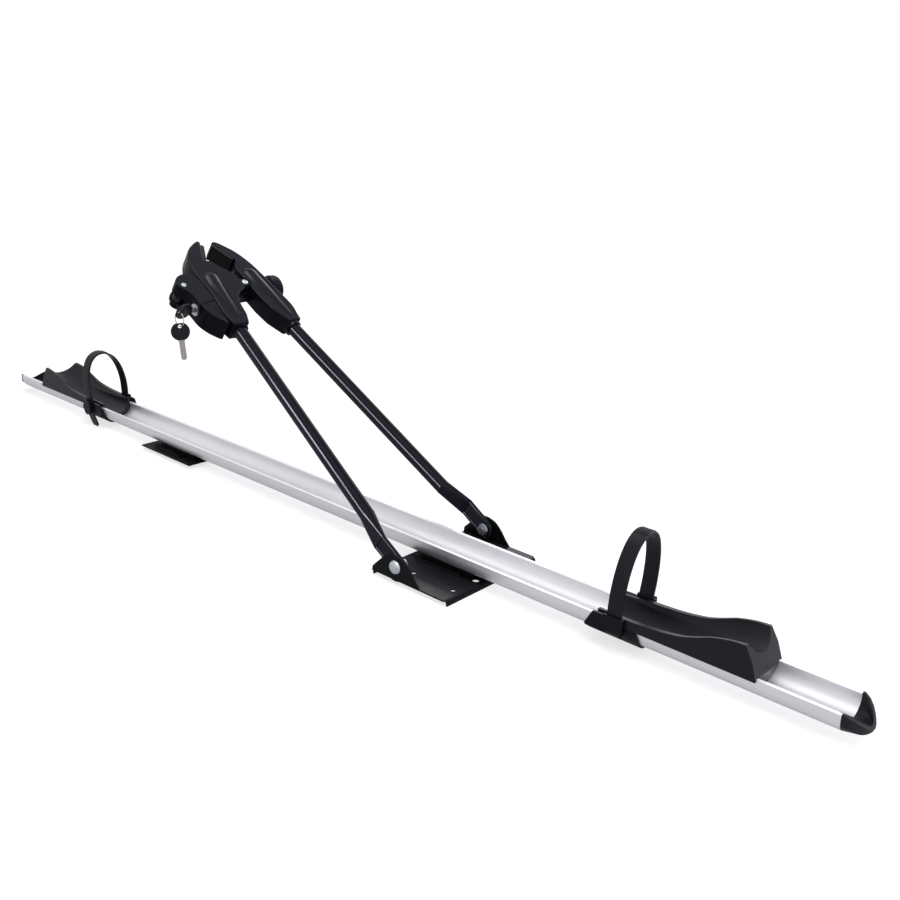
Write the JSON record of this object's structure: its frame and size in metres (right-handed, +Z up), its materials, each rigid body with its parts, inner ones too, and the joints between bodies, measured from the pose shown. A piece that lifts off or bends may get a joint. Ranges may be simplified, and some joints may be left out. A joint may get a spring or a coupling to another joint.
{
  "type": "roof mounted bike carrier",
  "caption": "Roof bike carrier: aluminium channel rail with end caps, strap wheel trays, coated mounting plates and a folding tube arm with a lockable frame clamp.",
  "frame": {"origin": "centre of the front mounting plate's bolt pattern, on the plate's underside", "axes": "+X along the rail towards its front end, +Y across the rail away from the lever side, +Z up away from the roof bar"},
  "size_m": [1.526, 0.2082, 0.3329],
  "materials": {
    "rail_alloy": "satin drawn aluminium",
    "saddle_plastic": "moulded black plastic",
    "zinc_steel": "zinc plated steel",
    "rod_steel": "blackened steel",
    "cap_plastic": "moulded black plastic",
    "bracket_coat": "satin black coated sheet steel",
    "tray_plastic": "charcoal moulded plastic",
    "clamp_plastic": "moulded black plastic",
    "strap_rubber": "ribbed flexible strap",
    "tube_coat": "gloss black coated steel tube",
    "head_plastic": "black glass-filled plastic",
    "pad_rubber": "soft black rubber",
    "key_plastic": "moulded black plastic",
    "key_steel": "nickel plated"
  },
  "bodies": {
    "base": {"rail": "rail_alloy", "rail_saddles": "saddle_plastic", "rail_rivets": "zinc_steel", "cap_front": "cap_plastic", "cap_rear": "cap_plastic", "bracket_front": "bracket_coat", "bracket_rear": "bracket_coat", "pivot_bolts": "zinc_steel", "pivot_nuts": "zinc_steel"},
    "front_holder": {"tray_front": "tray_plastic", "clamp_front": "clamp_plastic", "strap_front": "strap_rubber", "strap_pin_front": "zinc_steel"},
    "front_release": {"tab_front": "clamp_plastic"},
    "rear_holder": {"tray_rear": "tray_plastic", "clamp_rear": "clamp_plastic", "strap_rear": "strap_rubber", "strap_pin_rear": "zinc_steel"},
    "rear_release": {"tab_rear": "clamp_plastic"},
    "arm": {"tube_far": "tube_coat", "jaw_far": "head_plastic", "pad_far": "pad_rubber"},
    "near_arm": {"tube_near": "tube_coat", "jaw_near": "head_plastic", "pad_near": "pad_rubber", "jaw_rivet": "zinc_steel", "lever_pin": "zinc_steel"},
    "tie": {"tie_rod": "rod_steel"},
    "knob": {"knob": "head_plastic"},
    "lever": {"lever": "head_plastic"},
    "lock": {"lock_barrel": "zinc_steel", "lock_key_bow": "key_plastic", "lock_key_blade": "key_steel"},
    "ring": {"key_ring": "key_steel"},
    "spare_key": {"spare_key_bow": "key_plastic", "spare_key_blade": "key_steel"}
  },
  "joints": [
    {"name": "front_holder_slide", "type": "slide", "parent": "base", "child": "front_holder", "axis": [1, 0, 0], "range_m": [-0.14, 0.058]},
    {"name": "rear_holder_slide", "type": "slide", "parent": "base", "child": "rear_holder", "axis": [1, 0, 0], "range_m": [-0.05, 0.1]},
    {"name": "front_release_press", "type": "hinge", "parent": "front_holder", "child": "front_release", "pos_m": [0.229, 0.0392, 0.0345], "axis": [1, 0, 0], "range_deg": [0, 25], "stiffness_Nm_per_rad": 0.15, "springref_deg": -11.46},
    {"name": "rear_release_press", "type": "hinge", "parent": "rear_holder", "child": "rear_release", "pos_m": [-0.779, -0.0392, 0.0345], "axis": [-1, 0, 0], "range_deg": [0, 25], "stiffness_Nm_per_rad": 0.15, "springref_deg": -11.46},
    {"name": "arm_fold", "type": "hinge", "parent": "base", "child": "arm", "pos_m": [-0.035, 0, 0.017], "axis": [0, 1, 0], "range_deg": [-26, 63]},
    {"name": "jaw_spread", "type": "hinge", "parent": "arm", "child": "near_arm", "pos_m": [-0.035, -0.0805, 0.017], "axis": [0.5299, 0, 0.848], "range_deg": [0, 1.8]},
    {"name": "tie_swing", "type": "hinge", "parent": "near_arm", "child": "tie", "pos_m": [-0.44461, -0.084, 0.27295], "axis": [0.5299, 0, 0.848], "range_deg": [-1.8, 0]},
    {"name": "knob_turn", "type": "hinge", "parent": "arm", "child": "knob", "pos_m": [-0.44188, 0.0608, 0.263], "axis": [0.0444, 0.9986, -0.0277], "continuous": true},
    {"name": "lever_swing", "type": "hinge", "parent": "near_arm", "child": "lever", "pos_m": [-0.44461, -0.084, 0.27295], "axis": [-0.5299, 0, -0.848], "range_deg": [0, 110]},
    {"name": "lock_turn", "type": "hinge", "parent": "lever", "child": "lock", "pos_m": [-0.41689, -0.082, 0.25504], "axis": [0, -1, 0], "range_deg": [0, 90]},
    {"name": "ring_swing", "type": "hinge", "parent": "lock", "child": "ring", "pos_m": [-0.41689, -0.1065, 0.25504], "axis": [-0.848, 0, 0.5299], "range_deg": [-10, 50]},
    {"name": "spare_key_swing", "type": "hinge", "parent": "ring", "child": "spare_key", "pos_m": [-0.41689, -0.1065, 0.23604], "axis": [0.809, -0.5878, 0], "range_deg": [-30, 10]}
  ],
  "couplings": [
    {"joint": "tie_swing", "follows": "jaw_spread", "ratio": -1}
  ]
}
